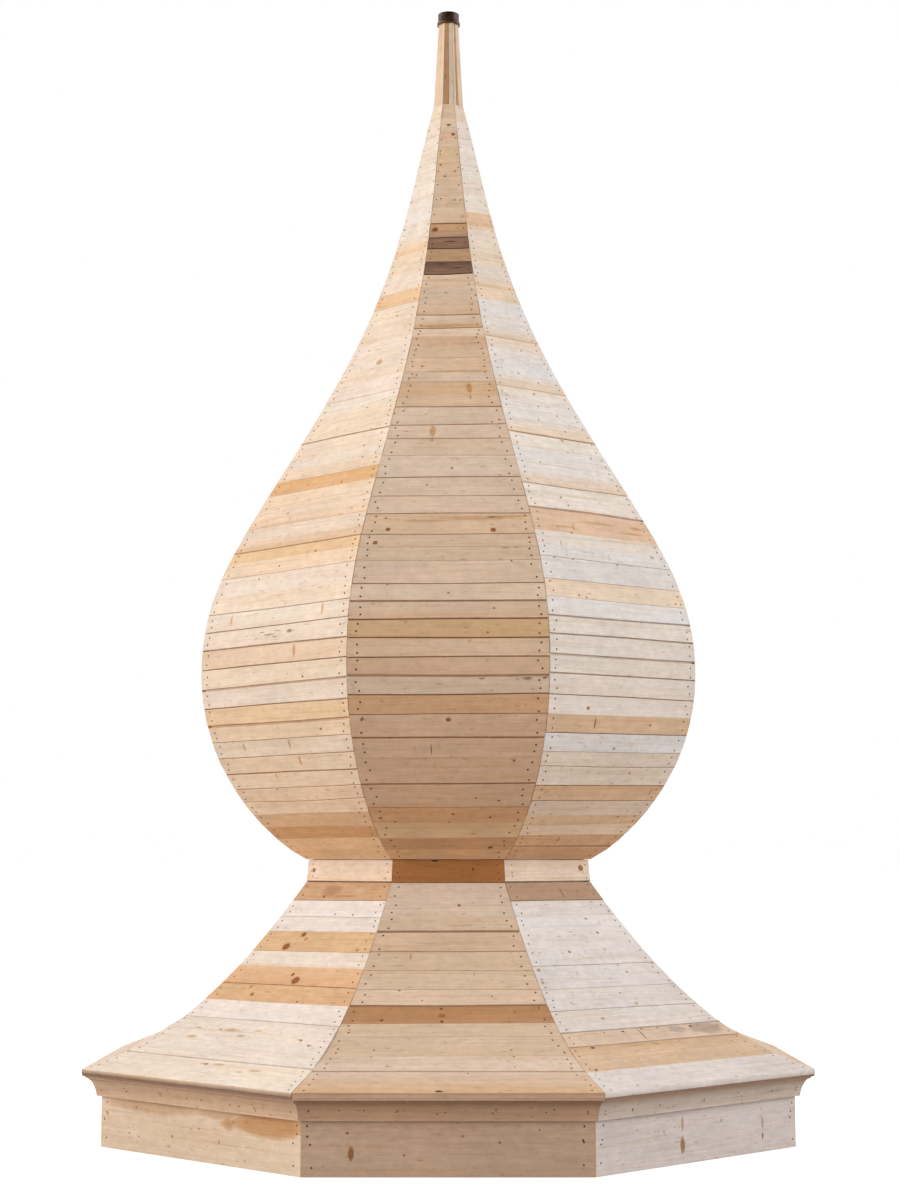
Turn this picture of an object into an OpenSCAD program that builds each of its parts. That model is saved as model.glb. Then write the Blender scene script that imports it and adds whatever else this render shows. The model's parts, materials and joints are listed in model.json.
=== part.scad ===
// Boarded eight-sided onion cupola. Millimetres, +Z up, the front face looks along -Y.

/* [Plan] */
// angle from the middle of a main face to its hip, 22.5 makes all eight faces equal
hip_angle = 21; // [19:0.5:26]
// gap along each hip between the boards of neighbouring faces
mitre_gap = 2; // [0.5:0.5:6]
// thickness of all face boards
board_t = 22; // [16:1:32]
// visible width of one board of the roof and the onion
board_w = 95; // [70:5:140]

/* [Plinth and eave] */
// width of the plinth over opposite main faces
plinth_w = 3530; // [3000:10:4000]
// height of the plinth that shows below the cove
plinth_show = 255; // [180:5:350]
// height of the cove moulding
cove_h = 100; // [70:5:140]
// thickness of the cove at its foot
cove_foot = 26; // [20:2:44]
// how far the cove leans out from foot to top
cove_out = 54; // [40:1:90]
// how hollow the cove is: 0 makes a straight slant, 1 a quarter of an oval
cove_hollowness = 0.75; // [0:0.05:1]
// square edges above and below the hollow of the cove
cove_fillet = 9; // [5:1:14]
// how far the eave edge stands out past the cove
eave_lip = 20; // [15:5:60]
// thickness of the flat board under the eave
soffit_t = 13; // [10:1:20]
// how far the soffit stays back from the eave edge
soffit_back = 4; // [2:1:12]

/* [Skirt roof] */
// height of the skirt roof from the eave edge to the neck
skirt_h = 940; // [800:10:1100]
// slope of the skirt roof at the eave
eave_slope = 23; // [18:1:30]
// slope of the skirt roof under the neck
neck_slope = 55; // [50:1:60]
// how much of the skirt the eave slope holds, as a share of its straight length
eave_pull = 0.14; // [0.08:0.01:0.3]
// how much of the skirt the neck slope holds, as a share of its straight length
neck_pull = 0.70; // [0.5:0.01:0.75]

/* [Neck] */
// width of the neck over opposite main faces at its foot
neck_w = 1514; // [1300:10:1700]
// height of the neck board
neck_h = 119; // [90:1:160]
// how far each neck board leans in from foot to top
neck_lean = 13; // [0:1:25]

/* [Onion] */
// height of the onion from the neck to the slats of the tip
onion_h = 4239; // [3800:10:4700]
// how far the lowest onion board stands out past the neck
onion_lip = 12; // [4:1:20]
// slope of the lowest onion boards
onion_start = 22; // [18:1:30]
// width of the onion at its belly
belly_w = 2614; // [2300:10:2900]
// height of the belly above the neck
belly_rise = 983; // [850:10:1100]
// width of the onion where it turns into the spire
flank_w = 1260; // [1100:10:1400]
// height of that turn above the neck
flank_rise = 2553; // [2300:10:2800]
// lean of the boards at that turn
flank_lean = 27.7; // [24:0.1:32]
// width of the spire at its top
spire_w = 166; // [150:2:200]
// lean of the boards at the top of the spire
spire_lean = 13.9; // [10:0.1:16]

/* [Tip] */
// length of the upright slats of the tip
slat_h = 510; // [350:1:600]
// width over opposite slats at their foot
tip_foot_w = 164; // [150:2:190]
// width over opposite slats at their top
tip_top_w = 108; // [100:2:130]
// gap between neighbouring slats
slat_gap = 1.5; // [0.5:0.5:4]
// height of the metal collar
collar_h = 67; // [60:1:110]
// height of the collar's lower lip
lip_h = 22; // [15:1:30]
// wall of the collar's lower lip
lip_wall = 6.5; // [4:0.5:10]
// how far the collar steps in above its lip
lip_step = 5; // [2:0.5:6]
// width of the finial socket in the collar
socket_d = 90; // [76:1:96]

/* [Framing] */
// thickness of a hip rib
rib_t = 110; // [80:5:140]
// depth of a hip rib behind the boards
rib_depth = 130; // [100:5:180]
// width of the sill and the eave plate
sill_w = 90; // [70:5:120]
// height of the sill
sill_h = 95; // [70:5:120]
// width of the corner posts
post_w = 120; // [90:5:150]
// width of the timbers of the neck ring
ring_w = 70; // [50:5:100]
// width of the beams across the neck
beam_w = 90; // [70:5:120]
// width over flats of the mast
mast_w = 116; // [90:2:118]
// length of mast at the top that no rib reaches
mast_bare = 110; // [60:10:200]

/* [Hidden] */
SIDES = ["front", "front_right", "right", "back_right", "back", "back_left", "left", "front_left"];
diagonal_angle = 45 - hip_angle;
diagonal_reach = cos(diagonal_angle) / cos(hip_angle);
plinth_a = plinth_w / 2;
wall_a = plinth_a - board_t;
cove_top = plinth_show + cove_h;
cove_foot_a = plinth_a + cove_foot;
cove_top_a = cove_foot_a + cove_out;
eave_a = cove_top_a + eave_lip;
soffit_top = cove_top + soffit_t;
eave_top = soffit_top + (board_t / cos(eave_slope)) - soffit_back * tan(eave_slope);
neck_foot = eave_top + skirt_h;
neck_top = neck_foot + neck_h;
neck_a = neck_w / 2;
neck_top_a = neck_a - neck_lean;
ring_in = neck_top_a - board_t - ring_w;
onion_top = neck_top + onion_h;
slat_top = onion_top + slat_h;
slat_t = (tip_foot_w - mast_w) / 2 - 2;
collar_foot = slat_top - lip_h;
collar_top = collar_foot + collar_h;
collar_in = (tip_top_w / 2) / cos(hip_angle) + 0.7;
lip_r = collar_in + lip_wall;
mast_a = mast_w / 2;
mast_top_a = tip_top_w / 2 - slat_t;
mast_slope = (tip_foot_w - tip_top_w) / 2 / slat_h;
mast_taper_z = slat_top - (mast_a - mast_top_a) / mast_slope;
tail_a = cove_foot_a + 15;
rib_top = onion_top - mast_bare;
far = 2 * eave_a;

function side_angle(i) = -90 + 45 * i;
function half_angle(i) = i % 2 == 0 ? hip_angle : diagonal_angle;
function reach(i) = i % 2 == 0 ? 1 : diagonal_reach;
function hip_direction(i) = side_angle(i) + half_angle(i);
function turned(v) = [-v.y, v.x];
function unit(v) = v / norm(v);
function reversed(list) = [for (i = [len(list) - 1 : -1 : 0]) list[i]];

// plan outline of the eight-sided shape whose main faces lie at distance a from the axis
function plan(a) = [for (i = [0 : 7]) a / cos(hip_angle) * [cos(hip_direction(i)), sin(hip_direction(i))]];

// point on a curve that leaves p0 towards p1 and comes to p3 from p2
function curve(p0, p1, p2, p3, t) =
    pow(1 - t, 3) * p0 + 3 * pow(1 - t, 2) * t * p1 + 3 * (1 - t) * pow(t, 2) * p2 + pow(t, 3) * p3;

// length of the step from point i to the next, none after the last
function step(pts, i) = i + 1 < len(pts) ? norm(pts[i + 1] - pts[i]) : 0;

// lengths along a line of points, from its first point to each of them
function lengths(pts) = [for (i = 0, s = 0; i < len(pts); s = s + step(pts, i), i = i + 1) s];

// the same line cut into even boards of about the wanted width
function boards(pts, wanted) =
    let (along = lengths(pts))
    let (total = along[len(along) - 1])
    let (count = round(total / wanted))
    let (xs = [for (i = [0 : len(pts) - 1]) [along[i], pts[i].x]])
    let (ys = [for (i = [0 : len(pts) - 1]) [along[i], pts[i].y]])
    [for (i = [0 : count]) [lookup(i * total / count, xs), lookup(i * total / count, ys)]];

// the line moved towards the axis by t, square to itself
function inset(pts, t) =
    let (n = len(pts))
    [for (i = [0 : n - 1])
        let (before = unit(pts[max(i, 1)] - pts[max(i, 1) - 1]))
        let (after = unit(pts[min(i, n - 2) + 1] - pts[min(i, n - 2)]))
        let (middle = unit(before + after))
        pts[i] + turned(middle) * t / (middle * before)];

function first_run(pts) = unit(pts[1] - pts[0]);
function last_run(pts) = unit(pts[len(pts) - 1] - pts[len(pts) - 2]);
function inner_points(line) = [for (i = [1 : len(line) - 2]) line[i]];

// skirt roof: a flat flare at the eave that bends up into the steep slope under the neck
skirt_foot = [eave_a, eave_top];
skirt_head = [neck_a, neck_foot];
skirt_span = norm(skirt_head - skirt_foot);
skirt_p1 = skirt_foot + eave_pull * skirt_span * [-cos(eave_slope), sin(eave_slope)];
skirt_p2 = skirt_head - neck_pull * skirt_span * [-cos(neck_slope), sin(neck_slope)];
skirt_line = boards([for (k = [0 : 60]) curve(skirt_foot, skirt_p1, skirt_p2, skirt_head, k / 60)], board_w);
skirt_foot_in = skirt_line[0] - [0, board_t / abs(first_run(skirt_line).x)];
skirt_head_in = skirt_line[len(skirt_line) - 1] - [board_t / last_run(skirt_line).y, 0];
skirt_inside = concat([skirt_foot_in], inner_points(inset(skirt_line, board_t)), [skirt_head_in]);

// onion: three curves, from the neck to the belly, to the turn and to the top of the spire
onion_p0 = [neck_top_a + onion_lip, neck_top];
belly = [belly_w / 2, neck_top + belly_rise];
flank = [flank_w / 2, neck_top + flank_rise];
spire = [spire_w / 2, onion_top];
flank_way = [-sin(flank_lean), cos(flank_lean)];
spire_way = [-sin(spire_lean), cos(spire_lean)];
onion_p1 = onion_p0 + 0.10 * belly_rise * [cos(onion_start), sin(onion_start)];
belly_p2 = belly - [0, 0.63 * belly_rise];
shoulder_p1 = belly + [0, 0.33 * (flank_rise - belly_rise)];
shoulder_p2 = flank - 0.557 * (flank_rise - belly_rise) * flank_way;
spire_p1 = flank + 0.455 * (onion_h - flank_rise) * flank_way;
spire_p2 = spire - 0.357 * (onion_h - flank_rise) * spire_way;
onion_line = boards(concat(
    [for (k = [0 : 39]) curve(onion_p0, onion_p1, belly_p2, belly, k / 40)],
    [for (k = [0 : 39]) curve(belly, shoulder_p1, shoulder_p2, flank, k / 40)],
    [for (k = [0 : 40]) curve(flank, spire_p1, spire_p2, spire, k / 40)]), board_w);
onion_foot_in = onion_line[0] - [board_t / first_run(onion_line).y, 0];
onion_head_in = onion_line[len(onion_line) - 1] - [board_t / last_run(onion_line).y, 0];
onion_inside = concat([onion_foot_in], inner_points(inset(onion_line, board_t)), [onion_head_in]);

// hollow of the cove, between a straight slant and a quarter of an oval that is upright at its foot
function cove_lean(angle) = cove_hollowness * (1 - cos(angle)) + (1 - cove_hollowness) * sin(angle);
cove_hollow_h = cove_h - 2 * cove_fillet;
cove_hollow = [for (k = [0 : 12])
    [cove_foot_a + cove_out * cove_lean(7.5 * k), plinth_show + cove_fillet + cove_hollow_h * sin(7.5 * k)]];
cove_section = concat([[plinth_a, plinth_show], [cove_foot_a, plinth_show]], cove_hollow,
    [[cove_top_a, cove_top], [plinth_a, cove_top]]);

function upright(a0, a1, z0, z1) = [[a0, z0], [a1, z0], [a1, z1], [a0, z1]];

// a section drawn as distance from the axis and height, run along side i without end
module run(i, section) {
    rotate([0, 0, side_angle(i)])
        rotate([90, 0, 0])
            translate([0, 0, -far / 2])
                linear_extrude(far)
                    polygon([for (p = section) [p.x * reach(i), p.y]]);
}

// sector of the plan that lies within an angle of a direction, less half the gap on both flanks
module sector(direction, angle, gap, top) {
    start = gap / 2 / sin(angle);
    rotate([0, 0, direction])
        linear_extrude(top)
            polygon([[start, 0], [far, -(far - start) * tan(angle)], [far, (far - start) * tan(angle)]]);
}

// the stretch of a section on side i that lies within an angle of a direction
module stretch(i, section, direction, angle, gap) {
    intersection() {
        run(i, section);
        sector(direction, angle, gap, collar_top);
    }
}

// one mitred length of a section on side i
module length(i, section, gap = mitre_gap) {
    stretch(i, section, side_angle(i), half_angle(i), gap);
}

module ring_of_lengths(section, gap = mitre_gap) {
    for (i = [0 : 7]) {
        length(i, section, gap);
    }
}

// plank on the hip after side i, cut to the inner faces of both sides
module hip_rib(i, outline, under) {
    intersection() {
        rotate([0, 0, hip_direction(i)])
            rotate([90, 0, 0])
                translate([0, 0, -rib_t / 2])
                    linear_extrude(rib_t)
                        polygon([for (p = outline) [p.x / cos(hip_angle), p.y]]);
        run(i, under);
        run((i + 1) % 8, under);
        sector(hip_direction(i), min(hip_angle, diagonal_angle) - 1, mitre_gap, rib_top);
    }
}

module plinth(i) {
    color([0.84, 0.72, 0.53])
        length(i, upright(wall_a, plinth_a, 0, cove_top));
}

module cove(i) {
    color([0.88, 0.76, 0.57])
        length(i, cove_section);
}

module skirt(i) {
    color([0.86, 0.73, 0.52])
        length(i, concat(skirt_line, reversed(skirt_inside)));
}

module onion(i) {
    color([0.87, 0.75, 0.55])
        length(i, concat(onion_line, reversed(onion_inside)));
}

module soffit() {
    color([0.80, 0.70, 0.55])
        ring_of_lengths(upright(wall_a - sill_w, eave_a - soffit_back, cove_top, soffit_top));
}

module neck_boards() {
    color([0.78, 0.58, 0.36])
        ring_of_lengths([[neck_a - board_t, neck_foot], [neck_a, neck_foot],
            [neck_top_a, neck_top], [neck_top_a - board_t, neck_top]]);
}

// two slats on each main side and one on each diagonal side
module tip_slats() {
    section = [[tip_foot_w / 2 - slat_t, onion_top], [tip_foot_w / 2, onion_top],
        [tip_top_w / 2, slat_top], [mast_top_a, slat_top]];
    color([0.80, 0.64, 0.48])
        for (i = [0 : 2 : 6]) {
            stretch(i, section, side_angle(i) - hip_angle / 2, hip_angle / 2, slat_gap);
            stretch(i, section, side_angle(i) + hip_angle / 2, hip_angle / 2, slat_gap);
            length(i + 1, section, slat_gap);
        }
}

module collar() {
    color([0.20, 0.15, 0.11])
        rotate_extrude()
            polygon([[collar_in, collar_foot], [lip_r, collar_foot], [lip_r, slat_top - lip_step],
                [lip_r - lip_step, slat_top], [lip_r - lip_step, collar_top - 3],
                [lip_r - lip_step - 3, collar_top], [socket_d / 2, collar_top],
                [socket_d / 2, slat_top], [collar_in, slat_top]]);
}

module mast() {
    color([0.72, 0.60, 0.44])
        intersection_for (i = [0 : 3]) {
            run(i, [[-mast_a, neck_top], [mast_a, neck_top], [mast_a, mast_taper_z],
                [mast_top_a, slat_top], [-mast_top_a, slat_top], [-mast_a, mast_taper_z]]);
        }
}

module sill() {
    color([0.66, 0.54, 0.38])
        ring_of_lengths(upright(wall_a - sill_w, wall_a, 0, sill_h));
}

module corner_posts() {
    color([0.70, 0.58, 0.42])
        intersection() {
            translate([0, 0, sill_h])
                linear_extrude(plinth_show - sill_h)
                    polygon(plan(wall_a));
            for (i = [0 : 7]) {
                rotate([0, 0, hip_direction(i)])
                    translate([wall_a / cos(hip_angle) - post_w, -post_w / 2, 0])
                        cube([2 * post_w, post_w, cove_top]);
            }
        }
}

module eave_plate() {
    color([0.66, 0.54, 0.38])
        ring_of_lengths(upright(wall_a - sill_w, wall_a, plinth_show, cove_top));
}

module skirt_ribs() {
    on_roof = [for (p = skirt_line) if (p.x < tail_a) p];
    outline = concat([[tail_a, soffit_top], [tail_a, on_roof[0].y]], on_roof, [[ring_in, neck_foot]],
        reversed(inset(skirt_line, board_t + rib_depth)));
    under = concat([[0, soffit_top], [eave_a, soffit_top]], inner_points(skirt_inside),
        [skirt_head_in, [0, neck_foot]]);
    color([0.74, 0.62, 0.45])
        for (i = [0 : 7]) {
            hip_rib(i, outline, under);
        }
}

module neck_ring() {
    color([0.68, 0.56, 0.40])
        ring_of_lengths([[ring_in, neck_foot], [neck_a - board_t, neck_foot],
            [neck_top_a - board_t, neck_top], [ring_in, neck_top]]);
}

// one beam across the neck, halved at its middle from below or from above
module neck_beam(turn, notch_z) {
    rotate([0, 0, turn])
        difference() {
            translate([-ring_in, -beam_w / 2, neck_foot])
                cube([2 * ring_in, beam_w, neck_h]);
            translate([-beam_w / 2 - 0.5, -beam_w, notch_z])
                cube([beam_w + 1, 2 * beam_w, neck_h]);
        }
}

module neck_beams() {
    color([0.68, 0.56, 0.40]) {
        neck_beam(0, neck_foot + neck_h / 2);
        neck_beam(90, neck_foot - neck_h / 2 + 0.5);
    }
}

module onion_ribs() {
    back = inset(onion_line, board_t + rib_depth);
    outline = concat(onion_line, reversed(back), [[ring_in - rib_depth / 2, neck_top]]);
    under = concat([[0, neck_top]], onion_inside, [[0, onion_top]]);
    color([0.74, 0.62, 0.45])
        difference() {
            for (i = [0 : 7]) {
                hip_rib(i, outline, under);
            }
            mast();
        }
}

for (i = [0 : 7]) {
    plinth(i);
    cove(i);
    skirt(i);
    onion(i);
}
soffit();
neck_boards();
tip_slats();
collar();
mast();
sill();
corner_posts();
eave_plate();
skirt_ribs();
neck_ring();
neck_beams();
onion_ribs();
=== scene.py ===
"""Boarded eight-sided onion cupola: single boards, knots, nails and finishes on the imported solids."""
import json
import math

import bmesh
import bpy
import numpy as np
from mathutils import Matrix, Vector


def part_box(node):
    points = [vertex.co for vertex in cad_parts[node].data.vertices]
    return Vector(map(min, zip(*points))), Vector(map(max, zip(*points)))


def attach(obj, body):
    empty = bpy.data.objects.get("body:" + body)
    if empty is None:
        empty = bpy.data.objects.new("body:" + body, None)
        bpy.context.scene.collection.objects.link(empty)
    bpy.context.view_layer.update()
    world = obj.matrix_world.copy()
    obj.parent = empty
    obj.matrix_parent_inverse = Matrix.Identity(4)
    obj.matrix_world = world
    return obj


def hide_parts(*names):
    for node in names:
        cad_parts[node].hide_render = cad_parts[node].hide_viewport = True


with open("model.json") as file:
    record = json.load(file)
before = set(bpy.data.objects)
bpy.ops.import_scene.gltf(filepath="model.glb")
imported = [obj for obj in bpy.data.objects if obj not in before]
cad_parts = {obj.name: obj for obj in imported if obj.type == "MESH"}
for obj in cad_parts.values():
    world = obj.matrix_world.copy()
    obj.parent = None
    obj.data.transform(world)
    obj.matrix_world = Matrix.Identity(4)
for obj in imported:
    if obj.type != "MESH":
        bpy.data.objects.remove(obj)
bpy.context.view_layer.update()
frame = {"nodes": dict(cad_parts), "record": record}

MM = 0.001
SIDES = ["front", "front_right", "right", "back_right", "back", "back_left", "left", "front_left"]
# each side of each form has a random series of its own
SEED = 4127
SEEDS = {"onion": 0, "skirt": 20, "plinth": 100, "cove": 200, "soffit": 300, "neck": 400, "slats": 500}

# camera at the photograph's place, found from the hips and the level lines
CAMERA_AT = (0.00825, -12.089, 1.450)
CAMERA_PITCH = 6.725
CAMERA_LENS = 65.94
VIEW_REACH = 1500
FLOOR_REACH = 400.0

# brightness of the sky by height, from 0 straight below to 1 straight above
SKY = ((0.465, 0.25), (0.484, 1.0), (0.72, 1.0), (0.90, 0.50))
# the light from both sides: where it comes from, strength, colour, spread in degrees
LEFT_SKY = ((-1.0, -0.05, 0.08), 3.95, (0.88, 0.95, 1.0), 75)
RIGHT_SKY = ((1.0, -0.05, 0.10), 3.45, (0.65, 0.82, 1.0), 75)

# boards: thickness, chamfer of the plain lengths, and sections along a length
BOARD_T = 22 * MM
CHAMFER = 0.6 * MM
STATIONS = 9
# gap and chamfer of a joint in mm, from a tight one to an open one, then at the foot and head of a face
JOINTS = ((0.1, 0.1), (1.2, 0.8), (2.0, 1.0), (3.0, 1.4), (4.2, 1.6), (5.5, 1.6), (7.0, 1.6), (9.0, 1.6),
          (13.0, 1.6))
END_JOINT = (1.0, 0.6)
GAP_SPREAD = (0.85, 1.15)
# gap in mm between a board's end and the hip
END_GAP = (0.6, 2.4)
# a joint whose half gap is wider than this gets tongues behind it, so deep below the face
TONGUED = 0.5 * MM
TONGUE_DEPTH = 17 * MM
# in mm, how far a joint waves and tilts and a board stands back; boards until a joint waves fully
WOBBLE = 0.9
TILT_SPREAD = 1.2
STEP_BACK = 0.3
FADE_BOARDS = 3.0

# nails: size, mm from the hip or else share of the half width, and spacing
NAIL_R = 5.6 * MM
NAIL_EDGE = (32, 60)
NAIL_EDGE_SHARE = (0.13, 0.26)
NAIL_PITCH = 50 * MM
# half width of a face from which its boards are nailed, and nailed more than once an end
NAILED_HALF = 48 * MM
PAIRED_HALF = 120 * MM
# the crown of a nail's head in mm, then its rings: share of the radius and depth in mm
NAIL_CROWN = -0.9
NAIL_RINGS = ((0.72, -0.6), (1.0, 0.1), (0.7, 1.5))
NAIL_TURNS = 8
# nails of the plain lengths: shares of the height, mm from the hip, spread of the shares, size
PLINTH_NAILS = ((0.13, 0.42, 0.50, 0.64), (26, 60), 0.02, NAIL_R)
NECK_NAILS = ((0.18, 0.42, 0.80), (28, 60), 0.03, 4.0 * MM)
COVE_NAIL_R = 3.6 * MM
COVE_NAIL_PLACES = 7
COVE_NAIL_END = 50 * MM

# colour of plain pine, and the other tones as shares of it
PLAIN = np.array([0.720, 0.530, 0.380])
TONE_LIMITS = (0.01, 0.93)
TONES = {
    "plain": (1.02, 1.01, 1.00), "pale": (1.03, 1.05, 1.10), "linen": (1.02, 1.09, 1.20),
    # rime, frost and chalk are partly bleached boards and partly painted cool light
    "white": (1.07, 1.13, 1.25), "rime": (1.04, 1.17, 1.36), "frost": (0.98, 1.12, 1.35),
    "chalk": (1.04, 1.20, 1.47), "faint": (0.96, 0.97, 1.01), "bright": (1.09, 1.06, 1.01),
    "soft": (0.97, 0.94, 0.93), "muted": (0.90, 0.87, 0.83), "cream": (1.04, 0.98, 0.92),
    "sand": (1.02, 0.93, 0.85), "rose": (0.94, 0.86, 0.77), "honey": (0.96, 0.82, 0.72),
    "maize": (1.01, 0.87, 0.67), "toffee": (0.92, 0.78, 0.63), "ochre": (0.88, 0.74, 0.55),
    "gold": (0.96, 0.72, 0.41), "orange": (0.88, 0.67, 0.49), "ginger": (0.82, 0.58, 0.36),
    "warm": (0.73, 0.58, 0.44), "brown": (0.68, 0.49, 0.34), "rust": (0.63, 0.41, 0.24),
    "deep_rust": (0.535, 0.28, 0.11), "tan_brown": (0.62, 0.50, 0.42), "chestnut": (0.54, 0.38, 0.27),
    "dark": (0.38, 0.27, 0.22), "umber": (0.19, 0.135, 0.115), "snow": (1.10, 1.22, 1.36),
    "milk": (1.07, 1.11, 1.14), "stone": (0.94, 0.91, 0.89), "fawn": (0.90, 0.84, 0.78),
    "butter": (1.06, 0.97, 0.81), "peach": (1.02, 0.86, 0.72), "corn": (1.07, 0.91, 0.71),
    "apricot": (0.94, 0.72, 0.53), "tan_grey": (0.84, 0.72, 0.63), "dull": (0.79, 0.69, 0.65),
    "dim": (0.735, 0.64, 0.59), "shaded": (0.755, 0.605, 0.51), "grey": (0.78, 0.78, 0.84),
    "cool": (0.85, 0.91, 1.07),
}
# milder tones that unseen faces take in place of the coldest ones, which are partly bleached boards and
# partly painted cool light of the front right side
CALMER = {"chalk": "white", "frost": "pale", "rime": "plain"}
# spread of the tone along a board, then of its value and warmth and of its grain from board to board
RIPPLE = 0.012
VALUE_SPREAD = 0.010
WARMTH_SPREAD = 0.006
GRAIN_SHIFT = 40

# upper edge of each board in mm along the face, then how open the joint above it is, as a place in
# JOINTS, unless it is tight, then its tone, or the tones of its lower and upper edge
ONION_BOARDS = {"front": [
    (95, "corn"), (190, "orange"), (297, "butter", "maize"), (397, 4, "apricot"), (536, 7, "honey"),
    (682, 1, "honey"), (787, 7, "honey"), (907, 3, "honey"), (1004, 6, "apricot"), (1095, 8, "stone"),
    (1190, 5, "honey"), (1285, 7, "sand"), (1381, 7, "ochre"), (1474, 7, "honey", "soft"),
    (1568, 4, "plain"), (1697, 1, "soft"), (1777, 1, "muted"), (1854, 3, "fawn"), (1984, 4, "rose"),
    (2096, 3, "soft"), (2221, 5, "stone"), (2367, 1, "faint"), (2482, 4, "stone"), (2577, 4, "soft"),
    (2700, 5, "stone"), (2785, "rose"), (2873, 1, "toffee"), (2952, "stone"), (3040, 1, "sand"),
    (3120, "rose"), (3185, "honey"), (3242, 4, "bright"), (3331, 4, "toffee", "pale"),
    (3425, "toffee", "stone"), (3515, "stone"), (3602, 5, "cream"), (3685, "dark", "umber"),
    (3768, 4, "warm"), (3840, 4, "dark"), (3930, 6, "tan_brown", "apricot"), (4030, "cream"),
    (4128, "cream"), (4226, "cream"), (4324, "sand"), (4422, "butter"), (4520, "bright", "peach"),
    (4610, "bright"), (4698, "cream")
], "front_left": [
    (100, "corn"), (192, "corn"), (280, "ginger"), (370, "toffee"), (449, 4, "bright"), (530, 4, "cream"),
    (619, 7, "bright"), (712, 4, "bright"), (802, 3, "milk"), (886, 8, "bright"), (984, 5, "butter"),
    (1085, 8, "white"), (1190, 5, "milk"), (1292, 6, "cream"), (1391, 4, "white"),
    (1486, 3, "pale", "snow"), (1580, "milk"), (1693, 2, "white"), (1780, "bright"), (1849, 4, "maize"),
    (1925, "toffee", "pale"), (2000, 1, "pale"), (2105, "sand", "pale"), (2212, "bright"),
    (2302, 2, "apricot", "gold"), (2375, "plain"), (2447, "linen"), (2565, 6, "milk"), (2665, "milk"),
    (2740, "milk"), (2827, 3, "snow"), (2932, "white"), (3022, "milk"), (3110, "linen"), (3200, "white"),
    (3310, "milk"), (3430, 1, "milk"), (3525, "corn"), (3620, "white"), (3695, "milk"), (3767, "bright"),
    (3865, "butter", "white"), (3960, "snow"), (4060, "rime"), (4160, "snow"), (4265, "snow"),
    (4385, "snow"), (4497, 1, "snow"), (4600, "white"), (4698, "milk")
], "front_right": [
    (122, 8, "orange"), (218, "apricot", "orange"), (290, "bright"), (355, "toffee"), (448, 5, "soft"),
    (539, 6, "honey", "orange"), (648, 4, "pale"), (728, 2, "pale"), (827, 4, "chalk"), (922, "toffee"),
    (1018, 4, "white"), (1124, 6, "white"), (1217, 8, "linen"), (1323, 7, "linen"), (1416, 7, "linen"),
    (1515, 1, "chalk"), (1613, 2, "bright"), (1740, 2, "frost"), (1815, "frost"), (1897, "linen"),
    (2046, 8, "honey"), (2120, "white"), (2204, 4, "snow"), (2290, "cream", "white"), (2367, "rime"),
    (2455, "chalk"), (2552, 7, "snow"), (2655, "bright", "rime"), (2745, "rime"),
    (2871, 3, "chalk", "milk"), (2967, "cream", "rime"), (3060, "chalk"), (3130, "rime"),
    (3210, 2, "white", "bright"), (3280, "rose", "rime"), (3356, "rime"), (3457, "chalk"), (3542, "bright"),
    (3615, "maize", "white"), (3682, "linen"), (3765, "bright"), (3850, "milk"), (3932, "white", "cream"),
    (4020, "peach"), (4135, "snow"), (4250, "white"), (4345, "snow"), (4487, 1, "white"), (4590, "white"),
    (4698, "plain")
]}
SKIRT_BOARDS = {"front": [
    # painted shade: the first front board darkens to toffee at its foot, as a rounded nosing at the eave
    # would be shaded
    (218, 8, "toffee", "faint"), (350, "faint"), (500, 2, "muted"), (593, "muted"),
    (715, 7, "brown", "rust"), (819, 2, "soft"), (940, 2, "muted"), (1059, 4, "muted"), (1183, 8, "fawn"),
    (1270, "muted"), (1483, "faint")
], "front_left": [
    (236, 8, "snow"), (569, 4, "rime"), (700, "chalk"), (821, 4, "orange", "ochre"),
    (943, "orange", "toffee"), (1043, 2, "rime"), (1172, "ochre"), (1266, 2, "frost"), (1370, 3, "chalk"),
    (1483, "warm")
], "front_right": [
    (205, "chalk"), (312, "rose"), (414, 7, "sand", "ochre"), (522, 7, "soft", "fawn"), (668, 4, "frost"),
    (810, 2, "frost"), (960, 3, "frost"), (1070, "frost"), (1180, "chalk"), (1270, "chalk"),
    (1371, 4, "frost"), (1483, "tan_brown")
], "left": [
    (150, 3, "linen"), (285, 4, "pale"), (420, "linen"), (560, 3, "pale"), (690, "pale"),
    (820, 3, "orange"), (943, "orange"), (1043, 1, "pale"), (1172, "orange"), (1266, 1, "pale"),
    (1370, 1, "pale"), (1483, "plain")
], "right": [
    (100, 3, "sand"), (215, "plain"), (330, 4, "sand"), (440, "cream"), (560, "sand"), (690, 1, "cream"),
    (810, 1, "sand"), (960, 1, "plain"), (1070, "plain"), (1180, "cream"), (1270, "plain"),
    (1371, 1, "plain"), (1483, "plain")
]}
# tones of the cut edge along the eave, at its upper arris and at its lower one; the darker of each pair
# paints the shadow line along the eave
EAVE_EDGE_SHADOW_TONES = {"front": ("brown", "dull"), "front_left": ("fawn", "umber"), "front_right": ("frost", "grey")}
# tones of the board under the eave, darker than plain pine: painted shade under the eave
SOFFIT_SHADE_TONES = {"front": "dull", "front_left": "dark", "front_right": "dark"}
# how far the joints of a face rise from its middle to its right hip in mm, on the onion and on the skirt
TILT = {"front": (3, 1), "front_left": (2, 6), "front_right": (13, -5)}
# tones of the plain lengths at their foot, middle and head
PLAIN_LOOK = ("plain",) * 3
# the front plinth's dim and dull tones are partly darker boards and partly painted shade under the eave
PLINTH_LOOKS = {"front": ("dim", "dull", "dull"), "front_left": ("muted", "muted", "cream"),
                "front_right": ("cool",) * 3}
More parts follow.
